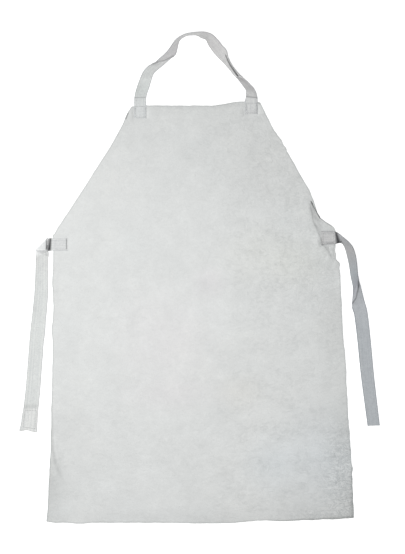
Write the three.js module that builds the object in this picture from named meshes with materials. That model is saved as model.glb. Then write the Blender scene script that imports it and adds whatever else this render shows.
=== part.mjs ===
// A leather work apron lying flat: one panel, a neck strap and two ties
// Millimetres. X runs across the apron, +Y runs from the hem to the neck, Z = 0 is the surface it lies on.
// The tables count X from the middle of the bib and Y from the hem.

import * as THREE from 'three';

// Driving dimensions
const PANEL_LENGTH = 898;
const LEATHER_THICKNESS = 1.6;
const TAPE_WIDTH = 27.5;
const TAPE_THICKNESS = 1.4;
const SEAT_GAP = 0.4;
const TAPE_FOLD_RADIUS = 2.2;

// Fineness of the facets
const PANEL_COLUMNS = 34;
const COLUMN_CROWDING = 0.6;
const TAPE_STEP = 6;
const TAPE_FOLD_STEPS = 6;

// Rows of facets up the panel, closer together where the leather folds
const PANEL_BANDS = [
  { upTo: 60, rows: 4 },
  { upTo: 540, rows: 18 },
  { upTo: 715, rows: 18 },
  { upTo: 870, rows: 7 },
  { upTo: PANEL_LENGTH, rows: 4 },
];

// Side edges of the panel at heights above the hem
const LEFT_EDGE = [
  { y: 0, x: -325 },
  { y: 60, x: -321 },
  { y: 265, x: -313.5 },
  { y: 415, x: -311.5 },
  { y: 600, x: -310.5 },
  { y: 615, x: -310 },
  { y: 631, x: -304 },
  { y: 652, x: -289 },
  { y: 738, x: -234 },
  { y: 825, x: -179 },
  { y: 850, x: -165 },
  { y: 872, x: -155.5 },
  { y: 886, x: -149.5 },
  { y: PANEL_LENGTH, x: -141 },
];
const RIGHT_EDGE = [
  { y: 0, x: 339 },
  { y: 90, x: 335 },
  { y: 200, x: 329 },
  { y: 415, x: 315 },
  { y: 550, x: 307.5 },
  { y: 572, x: 299 },
  { y: 615, x: 299.5 },
  { y: 631, x: 299.5 },
  { y: 641, x: 291.5 },
  { y: 652, x: 272 },
  { y: 663, x: 262 },
  { y: 695, x: 251.5 },
  { y: 738, x: 230 },
  { y: 825, x: 179.5 },
  { y: 845, x: 165.5 },
  { y: 872, x: 149.5 },
  { y: PANEL_LENGTH, x: 136 },
];

// How far the hem and the bib edge stand off level, by the share of the way across
const HEM_LINE = [
  { across: 0, y: 2 },
  { across: 0.04, y: -1 },
  { across: 0.6, y: -1 },
  { across: 0.7, y: 4 },
  { across: 0.86, y: 5 },
  { across: 1, y: 9 },
];
const BIB_LINE = [
  { across: 0, y: 0 },
  { across: 0.1, y: 2 },
  { across: 0.63, y: 2 },
  { across: 0.78, y: 8.5 },
  { across: 0.88, y: 10.5 },
  { across: 1, y: 9 },
];
const EDGE_LINE_REACH = 110;

// The right waist is rucked up: a swell with a crease along its crest
const WAIST_CREST = [
  { x: 306, y: 555, swell: 2, crease: 1 },
  { x: 264, y: 590, swell: 8, crease: 4 },
  { x: 255, y: 620, swell: 9, crease: 4 },
  { x: 246, y: 663, swell: 6, crease: 3 },
  { x: 239, y: 706, swell: 3, crease: 1 },
];
const WAIST_SWELL_WIDTHS = { left: 110, right: 85 };
const WAIST_CREASE_WIDTHS = { left: 26, right: 12 };

// Smaller ridges and dips of the leather, each from one point to another
const RIDGES = [
  { name: 'pleat at the right waist', from: [247, 692], to: [262, 657], rise: [-1, -3], width: 9 },
  { name: 'lift of the left edge', from: [-324, 150], to: [-328, 40], rise: [5, 3], width: 34 },
  { name: 'crease by the left edge', from: [-309, 176], to: [-294, 104], rise: [1, 3], width: 15 },
  { name: 'lift of the left hem corner', from: [-330, 4], to: [-285, 26], rise: [4, 1], width: 40 },
  { name: 'wave of the left hem', from: [-246, -6], to: [-232, 48], rise: [4, 1], width: 34 },
  { name: 'wave of the middle hem', from: [-30, -6], to: [-36, 46], rise: [2, 1], width: 60 },
  { name: 'wave of the right hem', from: [158, 0], to: [172, 60], rise: [4, 1], width: 46 },
  { name: 'lift of the right hem corner', from: [340, 8], to: [286, 52], rise: [6, 2], width: 44 },
  { name: 'wrinkle of the lower right edge', from: [338, 118], to: [276, 106], rise: [4, 1], width: 20 },
  { name: 'wrinkle of the right edge', from: [334, 172], to: [288, 186], rise: [3, 1], width: 22 },
  { name: 'wave of the right edge', from: [320, 330], to: [286, 340], rise: [3, 1], width: 44 },
  { name: 'wave of the left edge', from: [-316, 400], to: [-292, 410], rise: [2, 1], width: 50 },
  { name: 'wave of the left bib edge', from: [-226, 756], to: [-200, 740], rise: [2, 1], width: 40 },
  { name: 'wave of the bib top', from: [26, 904], to: [22, 866], rise: [3, 1], width: 52 },
];

// Sections of the tapes: where the two edges lie, which edge stands up, and what is sewn to the leather
const NECK_STRAP = [
  { outer: [-135.5, 872], inner: [-109.5, 872], sewn: true },
  { outer: [-135.5, 894], inner: [-109.5, 894], sewn: true },
  { outer: [-136, 904], inner: [-110, 904], lift: 2 },
  { outer: [-135.5, 917], inner: [-109.5, 917], lift: 2.5 },
  { outer: [-131, 937], inner: [-103.5, 937] },
  { outer: [-125, 954], inner: [-99, 952] },
  { outer: [-116.5, 973], inner: [-93, 970], raised: 'outer' },
  { outer: [-103.5, 986], inner: [-86.5, 976], raised: 'outer' },
  { outer: [-92.5, 992], inner: [-51.5, 1004.5], lift: 2 },
  { outer: [-66.5, 1014.5], inner: [-46, 1010.5], raised: 'outer' },
  { outer: [-57, 1026.5], inner: [-42.5, 1023.5], raised: 'outer' },
  { outer: [-48.5, 1038.5], inner: [-39.5, 1036.5], raised: 'outer' },
  { outer: [-38.5, 1047], inner: [-35, 1043], raised: 'outer' },
  { outer: [-20.5, 1054.5], inner: [-19.5, 1051], raised: 'outer' },
  { outer: [-3.5, 1057], inner: [-3.5, 1052], raised: 'outer' },
  { outer: [14, 1058], inner: [9.5, 1046], raised: 'outer' },
  { outer: [30.5, 1054], inner: [18, 1041], raised: 'outer' },
  { outer: [44.5, 1042], inner: [26, 1029], raised: 'outer' },
  { outer: [56, 1027], inner: [34, 1017], raised: 'outer' },
  { outer: [64.5, 1011], inner: [44.5, 1005], raised: 'outer' },
  { outer: [70, 997], inner: [57, 992.5], raised: 'outer' },
  { outer: [78, 982.5], inner: [69.5, 978.5], raised: 'outer' },
  { outer: [88, 970.5], inner: [78.5, 966.5], raised: 'outer', stand: 18, lift: 3 },
  { outer: [97, 962.5], inner: [84, 960], lift: 9 },
  { outer: [106, 956], inner: [89, 953.5], raised: 'inner' },
  { outer: [117.5, 944.5], inner: [98, 941.5], raised: 'inner' },
  { outer: [127, 929], inner: [105.5, 929], raised: 'inner' },
  { outer: [130.5, 918], inner: [105, 918], lift: 2.5 },
  { outer: [131, 912], inner: [103.5, 912], lift: 2.3 },
  { outer: [131, 901], inner: [103, 901], sewn: true },
  { outer: [131, 881], inner: [103.5, 881], sewn: true },
];
const LEFT_TIE_SEAT = [
  { outer: [-279, 586.5], inner: [-279, 613.5], sewn: true },
  { outer: [-295, 586.5], inner: [-295, 613.5], sewn: true },
  { outer: [-308, 586.5], inner: [-308, 613.5], sewn: true },
  { outer: [-312.5, 586.5], inner: [-312.5, 613.5], lift: 1.9 },
  { outer: [-316.5, 586], inner: [-316, 613.5], lift: 0.8 },
  { outer: [-321, 586], inner: [-319.5, 613], lift: 3.2 },
];
const LEFT_TIE_FOLD = { outer: [-348, 586], inner: [-321.5, 612.5] };
const LEFT_TIE_LENGTH = [
  { outer: [-348.5, 570], inner: [-321.5, 577] },
  { outer: [-349, 545], inner: [-321.5, 545] },
  { outer: [-351, 502], inner: [-321.5, 502] },
  { outer: [-355, 459], inner: [-324, 459] },
  { outer: [-361, 405], inner: [-329.5, 405] },
  { outer: [-366, 340], inner: [-334.5, 340] },
  { outer: [-370.5, 286], inner: [-338.5, 286] },
  { outer: [-375.5, 243], inner: [-342.5, 243] },
  { outer: [-381, 202], inner: [-345.5, 196] },
];
const RIGHT_TIE = [
  { outer: [268, 628.5], inner: [268, 598], sewn: true, lift: 0.7 },
  { outer: [281, 628.5], inner: [281, 599.5], sewn: true, lift: 1 },
  { outer: [295, 628.5], inner: [295, 600.5], sewn: true, lift: 1 },
  { outer: [304, 624.5], inner: [302, 601.5], raised: 'outer', stand: 9, lift: 6 },
  { outer: [313, 617], inner: [308, 601], raised: 'outer', stand: 19, lift: 1 },
  { outer: [326, 606], inner: [314.5, 600], raised: 'outer' },
  { outer: [336, 594], inner: [319.5, 592.5], raised: 'outer' },
  { outer: [342, 577], inner: [324, 577], raised: 'outer' },
  { outer: [345, 555.5], inner: [329, 555.5], raised: 'outer' },
  { outer: [347.5, 535], inner: [333.5, 531], raised: 'outer' },
  { outer: [349, 528], inner: [337.5, 502], raised: 'outer', stand: 21 },
  { outer: [350.5, 520], inner: [335.5, 472], raised: 'outer', stand: 18 },
  { outer: [361.5, 479], inner: [336, 464] },
  { outer: [367.5, 457], inner: [339, 450] },
  { outer: [375, 394], inner: [346, 394] },
  { outer: [381, 329], inner: [352.5, 329] },
  { outer: [387.5, 265], inner: [360, 265] },
  { outer: [393.5, 210], inner: [367, 209] },
];

// Smooth curve through rows of values at rising places, which stays between neighbouring rows
function curveThrough(places, rows) {
  const climb = (index, column) => {
    const rise = rows[index + 1][column] - rows[index][column];
    return rise / (places[index + 1] - places[index]);
  };
  const slope = (index, column) => {
    const before = climb(Math.max(index - 1, 0), column);
    const after = climb(Math.min(index, places.length - 2), column);
    return before * after > 0 ? (2 * before * after) / (before + after) : 0;
  };
  return (place) => {
    const next = places.findIndex((end) => end >= place);
    const index = THREE.MathUtils.clamp(next - 1, 0, places.length - 2);
    const length = places[index + 1] - places[index];
    const share = THREE.MathUtils.clamp((place - places[index]) / length, 0, 1);
    const ease = share * share * (3 - 2 * share);
    const leave = share * (1 - share) ** 2 * length;
    const arrive = share ** 2 * (share - 1) * length;
    return rows[index].map((value, column) => THREE.MathUtils.lerp(value, rows[index + 1][column], ease)
      + leave * slope(index, column) + arrive * slope(index + 1, column));
  };
}

// Curve from one column of a table to another
function columnCurve(table, along, column) {
  const curve = curveThrough(table.map((row) => row[along]), table.map((row) => [row[column]]));
  return (place) => curve(place)[0];
}

const leftEdge = columnCurve(LEFT_EDGE, 'y', 'x');
const rightEdge = columnCurve(RIGHT_EDGE, 'y', 'x');
const hemLine = columnCurve(HEM_LINE, 'across', 'y');
const bibLine = columnCurve(BIB_LINE, 'across', 'y');

// Height of a rounded ridge at a share of its half width, level with the leather at 1
function ridgeProfile(share) {
  return share < 1 ? Math.cos((share * Math.PI) / 2) ** 2 : 0;
}

// Place on a line nearest to a point: how far along, how far off, and to which side
function nearestOnLine(point, from, to) {
  const line = to.clone().sub(from);
  const offset = point.clone().sub(from);
  const along = THREE.MathUtils.clamp(offset.dot(line) / line.lengthSq(), 0, 1);
  const distance = offset.clone().addScaledVector(line, -along).length();
  return { along, distance, side: line.cross(offset) > 0 ? 'left' : 'right' };
}

// Height that the rucked right waist gives the leather
function waistHeight(point) {
  let nearest = { distance: Infinity };
  WAIST_CREST.slice(1).forEach((end, index) => {
    const start = WAIST_CREST[index];
    const from = new THREE.Vector2(start.x, start.y);
    const to = new THREE.Vector2(end.x, end.y);
    const place = nearestOnLine(point, from, to);
    if (place.distance < nearest.distance) nearest = { ...place, start, end };
  });
  const { along, distance, side, start, end } = nearest;
  const swell = THREE.MathUtils.lerp(start.swell, end.swell, along);
  const crease = THREE.MathUtils.lerp(start.crease, end.crease, along);
  return swell * ridgeProfile(distance / WAIST_SWELL_WIDTHS[side])
    + crease * ridgeProfile(distance / WAIST_CREASE_WIDTHS[side]);
}

// Height of the underside of the leather above the surface it lies on
function leatherUnderside(x, y) {
  const point = new THREE.Vector2(x, y);
  let height = waistHeight(point);
  for (const { from, to, rise, width } of RIDGES) {
    const { along, distance } = nearestOnLine(point, new THREE.Vector2(...from), new THREE.Vector2(...to));
    height += THREE.MathUtils.lerp(...rise, along) * ridgeProfile(distance / width);
  }
  return Math.max(height, 0);
}

function leatherTop(x, y) {
  return leatherUnderside(x, y) + LEATHER_THICKNESS;
}

// Closed solid between two grids of points, the second lying on the outer side of the first
function solidBetween(below, above) {
  const rows = below.length;
  const columns = below[0].length;
  const points = [...below.flat(), ...above.flat()];
  const indices = [];
  const at = (layer, row, column) => layer * rows * columns + row * columns + column;
  const quad = (a, b, c, d) => indices.push(a, b, c, a, c, d);
  for (let row = 0; row < rows - 1; row += 1) {
    for (let column = 0; column < columns - 1; column += 1) {
      const corners = (layer) => [
        at(layer, row, column),
        at(layer, row, column + 1),
        at(layer, row + 1, column + 1),
        at(layer, row + 1, column),
      ];
      const [a, b, c, d] = corners(0);
      quad(d, c, b, a);
      quad(...corners(1));
    }
  }
  const end = rows - 1;
  const side = columns - 1;
  for (let row = 0; row < end; row += 1) {
    quad(at(0, row + 1, 0), at(0, row, 0), at(1, row, 0), at(1, row + 1, 0));
    quad(at(0, row, side), at(0, row + 1, side), at(1, row + 1, side), at(1, row, side));
  }
  for (let column = 0; column < side; column += 1) {
    quad(at(0, 0, column), at(0, 0, column + 1), at(1, 0, column + 1), at(1, 0, column));
    quad(at(0, end, column + 1), at(0, end, column), at(1, end, column), at(1, end, column + 1));
  }
  const geometry = new THREE.BufferGeometry();
  geometry.setFromPoints(points);
  geometry.setIndex(indices);
  geometry.computeVertexNormals();
  return geometry;
}

// Heights of the rows of facets, level by level up the panel
function panelLevels() {
  const levels = [0];
  for (const { upTo, rows } of PANEL_BANDS) {
    const start = levels.at(-1);
    for (let row = 1; row <= rows; row += 1) {
      levels.push(THREE.MathUtils.lerp(start, upTo, row / rows));
    }
  }
  return levels;
}

// Shares of the way across at which the columns of facets stand, closer together toward the sides
function panelShares() {
  return Array.from({ length: PANEL_COLUMNS + 1 }, (_, column) => {
    const even = column / PANEL_COLUMNS;
    const crowded = (1 - Math.cos(even * Math.PI)) / 2;
    return THREE.MathUtils.lerp(even, crowded, COLUMN_CROWDING);
  });
}

// Height of a point of the panel, with the hem and the bib edge off level
function panelHeight(level, across) {
  const nearHem = ridgeProfile(level / EDGE_LINE_REACH);
  const nearBib = ridgeProfile((PANEL_LENGTH - level) / EDGE_LINE_REACH);
  return level + nearHem * hemLine(across) + nearBib * bibLine(across);
}

function panelGeometry() {
  const shares = panelShares();
  const layer = (heightAt) => panelLevels().map((level) => shares.map((across) => {
    const y = panelHeight(level, across);
    const x = THREE.MathUtils.lerp(leftEdge(level), rightEdge(level), across);
    return new THREE.Vector3(x, y, heightAt(x, y));
  }));
  return solidBetween(layer(leatherUnderside), layer(leatherTop));
}

// Middle of a tape's thickness at the two edges of a section
function tapeEdges({ outer, inner, raised, stand, sewn = false, lift = 0 }) {
  const spread = new THREE.Vector2(...outer).distanceTo(new THREE.Vector2(...inner));
  const standing = stand ?? Math.sqrt(Math.max(TAPE_WIDTH ** 2 - spread ** 2, 0));
  const edge = (name, [x, y]) => {
    const bed = sewn ? leatherTop(x, y) + SEAT_GAP : 0;
    const height = bed + lift + TAPE_THICKNESS / 2 + (raised === name ? standing : 0);
    return new THREE.Vector3(x, y, height);
  };
  return { outer: edge('outer', outer), inner: edge('inner', inner) };
}

// Sections around a tape that is folded under itself along a line from its outer to its inner edge
function tapeFoldEdges({ outer, inner }) {
  const line = new THREE.Vector3(inner[0] - outer[0], inner[1] - outer[1], 0).normalize();
  const outward = new THREE.Vector3(-line.y, line.x, 0);
  return Array.from({ length: TAPE_FOLD_STEPS + 1 }, (_, step) => {
    const turn = (step / TAPE_FOLD_STEPS) * Math.PI;
    const height = TAPE_THICKNESS / 2 + TAPE_FOLD_RADIUS * (1 + Math.cos(turn));
    const shift = outward.clone().multiplyScalar(TAPE_FOLD_RADIUS * Math.sin(turn)).setZ(height);
    const edge = ([x, y]) => new THREE.Vector3(x, y, 0).add(shift);
    return { outer: edge(outer), inner: edge(inner) };
  });
}

// Tape of even thickness through its sections
function tapeGeometry(sections) {
  const middle = ({ outer, inner }) => outer.clone().lerp(inner, 0.5);
  const places = [0];
  sections.slice(1).forEach((section, index) => {
    places.push(places[index] + middle(section).distanceTo(middle(sections[index])));
  });
  const outerEdge = curveThrough(places, sections.map(({ outer }) => outer.toArray()));
  const innerEdge = curveThrough(places, sections.map(({ inner }) => inner.toArray()));
  const sectionAt = (place) => ({
    outer: new THREE.Vector3(...outerEdge(place)),
    inner: new THREE.Vector3(...innerEdge(place)),
  });
  const stops = [0];
  places.slice(1).forEach((place, index) => {
    const steps = Math.ceil((place - places[index]) / TAPE_STEP);
    for (let step = 1; step <= steps; step += 1) {
      stops.push(THREE.MathUtils.lerp(places[index], place, step / steps));
    }
  });
  const below = [];
  const above = [];
  stops.forEach((stop, index) => {
    const here = sectionAt(stop);
    const before = sectionAt(stops[Math.max(index - 1, 0)]);
    const after = sectionAt(stops[Math.min(index + 1, stops.length - 1)]);
    const across = here.inner.clone().sub(here.outer);
    const half = (edge) => after[edge].clone().sub(before[edge]).cross(across)
      .negate().setLength(TAPE_THICKNESS / 2);
    below.push(['outer', 'inner'].map((edge) => here[edge].clone().sub(half(edge))));
    above.push(['outer', 'inner'].map((edge) => here[edge].clone().add(half(edge))));
  });
  return solidBetween(below, above);
}

function leftTieSections() {
  return [
    ...LEFT_TIE_SEAT.map(tapeEdges),
    ...tapeFoldEdges(LEFT_TIE_FOLD),
    ...LEFT_TIE_LENGTH.map(tapeEdges),
  ];
}

function piece(name, geometry, color, roughness) {
  const material = new THREE.MeshStandardMaterial({ color, roughness, metalness: 0 });
  const mesh = new THREE.Mesh(geometry, material);
  mesh.name = name;
  return mesh;
}

const apron = new THREE.Group();
apron.add(piece('panel', panelGeometry(), '#dcdedd', 0.95));
apron.add(piece('neck_strap', tapeGeometry(NECK_STRAP.map(tapeEdges)), '#c8cccb', 0.9));
apron.add(piece('left_tie', tapeGeometry(leftTieSections()), '#d8dcdb', 0.9));
apron.add(piece('right_tie', tapeGeometry(RIGHT_TIE.map(tapeEdges)), '#b0b6b8', 0.9));

// The part's origin is the middle of its outer box, on the surface it lies on
const box = new THREE.Box3().setFromObject(apron);
const middle = box.getCenter(new THREE.Vector3());
apron.position.set(-middle.x, -middle.y, -box.min.z);

const part = new THREE.Group();
part.add(apron);
export default part;
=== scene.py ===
import math

import bmesh
import bpy
from mathutils import Matrix, Vector, noise
from mathutils.bvhtree import BVHTree
from mathutils.kdtree import KDTree


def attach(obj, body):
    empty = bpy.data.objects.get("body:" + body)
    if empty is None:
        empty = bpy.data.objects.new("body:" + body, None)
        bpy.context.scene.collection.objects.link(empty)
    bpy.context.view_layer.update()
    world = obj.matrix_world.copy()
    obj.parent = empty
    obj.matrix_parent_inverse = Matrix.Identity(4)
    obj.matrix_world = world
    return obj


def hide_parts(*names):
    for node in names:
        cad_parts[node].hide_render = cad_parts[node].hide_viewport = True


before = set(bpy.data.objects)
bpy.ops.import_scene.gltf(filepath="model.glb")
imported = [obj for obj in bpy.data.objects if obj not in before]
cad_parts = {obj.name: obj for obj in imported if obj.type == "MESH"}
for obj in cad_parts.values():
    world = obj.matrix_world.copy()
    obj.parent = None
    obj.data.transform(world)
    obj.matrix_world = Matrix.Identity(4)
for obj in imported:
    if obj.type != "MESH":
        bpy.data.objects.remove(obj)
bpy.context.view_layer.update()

# Sizes in metres
PHOTO_HEIGHT = 1.1965
PHOTO_CENTRE = (0.00555, 0.00079)
CAMERA_HEIGHT = 8.0
FLOOR_SIZE = 40.0
LEATHER_THICKNESS = 0.0016
TAPE_WIDTH = 0.0275
TAPE_THICKNESS = 0.0014
STITCH_LENGTH = 0.0027
STITCH_PITCH = 0.0033
THREAD_RADIUS = 0.0005
HEM_TURN = 0.046
HEM_RADIUS = 0.00095
YARN_PITCH = 0.0019
SELVEDGE_WIDTH = 0.0030
SELVEDGE_RIM = 0.0008
TAPE_FOLD_RISE = 0.0010
TAPE_CURL_RISE = 0.0012
TAPE_FOLD_LENGTH = 0.020
TAPE_CURL_LENGTH = 0.03
HELD_FADE = 0.02
NECK_LEFT_HELD = 0.040
NECK_RIGHT_HELD = 0.034
LEFT_TIE_HELD = 0.075
RIGHT_TIE_HELD = 0.034
NICK_DEPTH = 0.02
RAGGED_DEPTH = 0.007
RAGGED_LENGTH = 0.012
RAGGED_LEAST = 0.0007
RAGGED_WAIST = 0.0016
RAGGED_WRINKLED = 0.0008
WRINKLE_RISE = 0.0016
PUCKER_RISE = 0.0034
RELIEF_START = 0.0012
RELIEF_FULL = 0.006
TAPE_CLEARANCE = 0.0015
CUT_EDGE_ROUNDING = 0.0004
JOIN_DISTANCE = 0.00001

# Boxes of stitches: start and stop from a sewn end, gap at both ends of the hem, inset from the edges
NECK_LEFT_SEAM = (0.0025, 0.026)
NECK_RIGHT_SEAM = (0.0025, 0.024)
TIE_SEAM = (0.0045, 0.027)
HEM_SEAM = 0.004
SEAM_INSET = 0.003
WIDE_SEAM_INSET = 0.0035

# Ribs and folds across a tape, and how fine its streaks are across it and along it, per metre
TAPE_RIBS = 5
TAPE_FOLDS = 2.2
STREAK_SCALE = (260.0, 5.0, 1.0)

# How far painted shade spreads from a crease, and the offset of points that are off every crease, in half
# widths
CREASE_SHADE_SPREAD = 2.3
OFF_CREASES = 9.0

# Glow of the floor and the sky: how much more the camera sees, and what every ray gets
FLOOR_GLOW = (0.56, 0.30)
SKY_GLOW = (0.70, 0.33)

# Fineness of the meshes: steps of the panel's columns and rows, closer where the leather is wrinkled
PANEL_COLUMNS = [(0.05, 14), (0.86, 108), (1.0, 44)]
PANEL_ROWS = [(0.18, 70), (0.60, 72), (0.80, 76), (1.0, 46)]
TAPE_COLUMNS = 14
TAPE_STEP = 0.002
HEM_STEPS = 8
SMOOTHING_ROUNDS = 5

UP = Vector((0.0, 0.0, 1.0))


# Meshes and objects

def finished_piece(name, mesh_maker, materials):
    """A mesh object at the origin made from a bmesh, with its materials"""
    mesh = bpy.data.meshes.new(name)
    mesh_maker.to_mesh(mesh)
    mesh_maker.free()
    for material in materials:
        mesh.materials.append(material)
    for face in mesh.polygons:
        face.use_smooth = True
    piece = bpy.data.objects.new(name, mesh)
    bpy.context.scene.collection.objects.link(piece)
    return piece


def merged_solid(node):
    """A copy of a CAD solid with its loose triangles joined at their corners"""
    solid = bmesh.new()
    solid.from_mesh(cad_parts[node].data)
    bmesh.ops.remove_doubles(solid, verts=solid.verts, dist=JOIN_DISTANCE)
    return solid


def eased(value, start, stop):
    """A soft step from 0 at start to 1 at stop"""
    share = min(max((value - start) / (stop - start), 0.0), 1.0)
    return share * share * (3.0 - 2.0 * share)


def ripple(x, y, length, width, seed):
    """Noise over the plan, with ripples of a length and a width"""
    return noise.noise(Vector((x / length, y / width, seed)))


def rounded_ridge(share):
    """Height of a soft ridge at a share of its half width"""
    return math.cos(min(abs(share), 1.0) * math.pi / 2) ** 2


# Shading nodes and groups

def add_node(tree, kind, settings=None, values=None, feeds=None):
    """A shading node with its settings, the plain values of its sockets and what feeds the others"""
    node = tree.nodes.new("ShaderNode" + kind)
    for name, setting in (settings or {}).items():
        setattr(node, name, setting)
    for socket, value in (values or {}).items():
        node.inputs[socket].default_value = value
    for socket, source in (feeds or {}).items():
        tree.links.new(source, node.inputs[socket])
    return node


def calculated(tree, operation, *terms):
    """Result of a calculation with sockets and plain numbers"""
    node = add_node(tree, "Math", {"operation": operation})
    for index, term in enumerate(terms):
        if isinstance(term, float):
            node.inputs[index].default_value = term
        else:
            tree.links.new(term, node.inputs[index])
    return node.outputs["Value"]


def ranged(tree, value, low, high, soft=False, least=0.0):
    """A value spread from the least at one level to 1 at another"""
    node = add_node(tree, "MapRange", {"interpolation_type": "SMOOTHSTEP" if soft else "LINEAR"},
                    {"From Min": low, "From Max": high, "To Min": least}, {"Value": value})
    return node.outputs["Result"]


def attribute_of(tree, name, part="Fac"):
    """An attribute of the piece, as a value or a colour"""
    return add_node(tree, "Attribute", {"attribute_name": name}).outputs[part]


def multiplied(tree, first, second):
    """Two colours multiplied"""
    blend = add_node(tree, "Mix", {"data_type": "RGBA", "blend_type": "MULTIPLY"}, {0: 1.0},
                     {6: first, 7: second})
    return blend.outputs[2]


def brighter_in_view(tree, more, least):
    """A brightness that is more for the camera's own rays"""
    rays = add_node(tree, "LightPath")
    return calculated(tree, "MULTIPLY_ADD", rays.outputs["Is Camera Ray"], more, least)


def new_group(name, inputs, outputs):
    """An empty shading group with named sockets, given as name and kind"""
    group = bpy.data.node_groups.new(name, "ShaderNodeTree")
    for socket, kind in inputs:
        group.interface.new_socket(name=socket, in_out="INPUT", socket_type="NodeSocket" + kind)
    for socket, kind in outputs:
        group.interface.new_socket(name=socket, in_out="OUTPUT", socket_type="NodeSocket" + kind)
    entry = group.nodes.new("NodeGroupInput")
    leave = group.nodes.new("NodeGroupOutput")
    return group, entry, leave


def put_out(group, leave, results):
    """A shading group with its results linked to its outputs"""
    for socket, result in results.items():
        group.links.new(result, leave.inputs[socket])
    return group


def make_patches_group():
    """Colour that drifts between two shades in soft patches, as on handled leather and cloth"""
    group, entry, leave = new_group(
        "soft_patches",
        [("Colour", "Color"), ("Patch Colour", "Color"), ("Patch Scale", "Float"), ("Share", "Float")],
        [("Colour", "Color")],
    )
    place = add_node(group, "TexCoord")
    cloud = add_node(group, "TexNoise", values={"Detail": 3.0, "Roughness": 0.55},
                     feeds={"Vector": place.outputs["Object"], "Scale": entry.outputs["Patch Scale"]})
    spread = ranged(group, cloud.outputs["Fac"], 0.29, 0.71, soft=True)
    amount = calculated(group, "MULTIPLY", spread, entry.outputs["Share"])
    blend = add_node(group, "Mix", {"data_type": "RGBA"},
                     feeds={0: amount, 6: entry.outputs["Colour"], 7: entry.outputs["Patch Colour"]})
    return put_out(group, leave, {"Colour": blend.outputs[2]})


def make_nap_group():
    """Short raised fibres of suede and cotton: a height and a mask of the deeper spots, for painted shade
    """
    group, entry, leave = new_group(
        "fibre_nap", [("Fibre Scale", "Float")], [("Height", "Float"), ("Deep_Spot_Shade", "Float")])
    place = add_node(group, "TexCoord")
    fibres = add_node(group, "TexNoise", values={"Detail": 4.0, "Roughness": 0.62, "Distortion": 0.6},
                      feeds={"Vector": place.outputs["Object"], "Scale": entry.outputs["Fibre Scale"]})
    height = fibres.outputs["Fac"]
    return put_out(group, leave, {"Height": height, "Deep_Spot_Shade": ranged(group, height, 0.5, 0.3)})


def make_weave_group():
    """Herringbone of a cotton tape on a map in metres: yarns, gaps between them for painted shade, ribs,
    streaks and selvedges
    """
    group, entry, leave = new_group(
        "tape_weave", [("Place", "Vector")],
        [("Height", "Float"), ("Gap_Shade", "Float"), ("Rib", "Float"), ("Streak", "Float"),
         ("Selvedge", "Float")])
    place = entry.outputs["Place"]
    axes = add_node(group, "SeparateXYZ", feeds={"Vector": place})
    across, along = axes.outputs["X"], axes.outputs["Y"]
    slant = calculated(group, "ADD", calculated(group, "PINGPONG", across, TAPE_WIDTH / 3), along)
    yarn = calculated(group, "SINE", calculated(group, "MULTIPLY", slant, math.tau / YARN_PITCH))
    rib = calculated(group, "MULTIPLY", across, math.tau * TAPE_RIBS / TAPE_WIDTH)
    stretch = add_node(group, "VectorMath", {"operation": "MULTIPLY"}, {1: STREAK_SCALE}, {0: place})
    strands = add_node(group, "TexNoise", values={"Scale": 1.0, "Detail": 2.0, "Roughness": 0.5},
                       feeds={"Vector": stretch.outputs["Vector"]})
    off_middle = calculated(group, "ABSOLUTE", calculated(group, "SUBTRACT", across, TAPE_WIDTH / 2))
    return put_out(group, leave, {
        "Height": ranged(group, yarn, -1.0, 1.0),
        "Gap_Shade": ranged(group, yarn, -0.35, -1.0),
        "Rib": ranged(group, calculated(group, "COSINE", rib), 0.1, 1.0),
        "Streak": ranged(group, strands.outputs["Fac"], 0.4, 0.68, soft=True),
        "Selvedge": ranged(group, off_middle, TAPE_WIDTH / 2 - SELVEDGE_WIDTH,
                           TAPE_WIDTH / 2 - SELVEDGE_RIM, soft=True),
    })


def make_crease_shade_group():
    """Mask of the shade painted along creases, folds and edges, from how far off a crease each point is,
    in crease widths
    """
    group, _, leave = new_group("painted_crease_shade", [], [("Painted_Shade", "Float")])
    distance = calculated(group, "ABSOLUTE", attribute_of(group, "crease_offset"))
    nearness = ranged(group, distance, 1.0, 0.0, soft=True)
    painted_shade = calculated(group, "MULTIPLY", nearness, attribute_of(group, "crease_strength"))
    return put_out(group, leave, {"Painted_Shade": painted_shade})


patches_group = make_patches_group()
nap_group = make_nap_group()
weave_group = make_weave_group()
crease_shade_group = make_crease_shade_group()


# Materials

def new_material(name, roughness, specular, sheen):
    """A material with a matt shader"""
    material = bpy.data.materials.new(name)
    material.use_nodes = True
    shader = material.node_tree.nodes["Principled BSDF"]
    shader.inputs["Roughness"].default_value = roughness
    shader.inputs["Specular IOR Level"].default_value = specular
    shader.inputs["Sheen Weight"].default_value = sheen
    shader.inputs["Sheen Roughness"].default_value = 0.6
    return material, material.node_tree, shader


def add_group(tree, group, values):
    """A placed shading group with its own values"""
    node = tree.nodes.new("ShaderNodeGroup")
    node.node_tree = group
    for socket, value in values.items():
        node.inputs[socket].default_value = value
    return node


def patched_colour(tree, base, layers):
    """Colour built up of soft patches: rows of patch scale, tint and share"""
    last = None
    for scale, tint, share in layers:
        tinted = [part * factor for part, factor in zip(base, tint)]
        values = {"Patch Scale": scale, "Patch Colour": (*tinted, 1.0), "Share": share}
        if last is None:
            values["Colour"] = (*base, 1.0)
        patch = add_group(tree, patches_group, values)
        if last is not None:
            tree.links.new(last, patch.inputs["Colour"])
        last = patch.outputs["Colour"]
    return last


def darkened(tree, colour, layers):
    """A colour multiplied by tints where masks are on: rows of mask, tint and share"""
    for mask, tint, share in layers:
        amount = calculated(tree, "MULTIPLY", mask, share)
        blend = add_node(tree, "Mix", {"data_type": "RGBA", "blend_type": "MULTIPLY"},
                         {7: (*tint, 1.0)}, {0: amount, 6: colour})
        colour = blend.outputs[2]
    return colour


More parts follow.
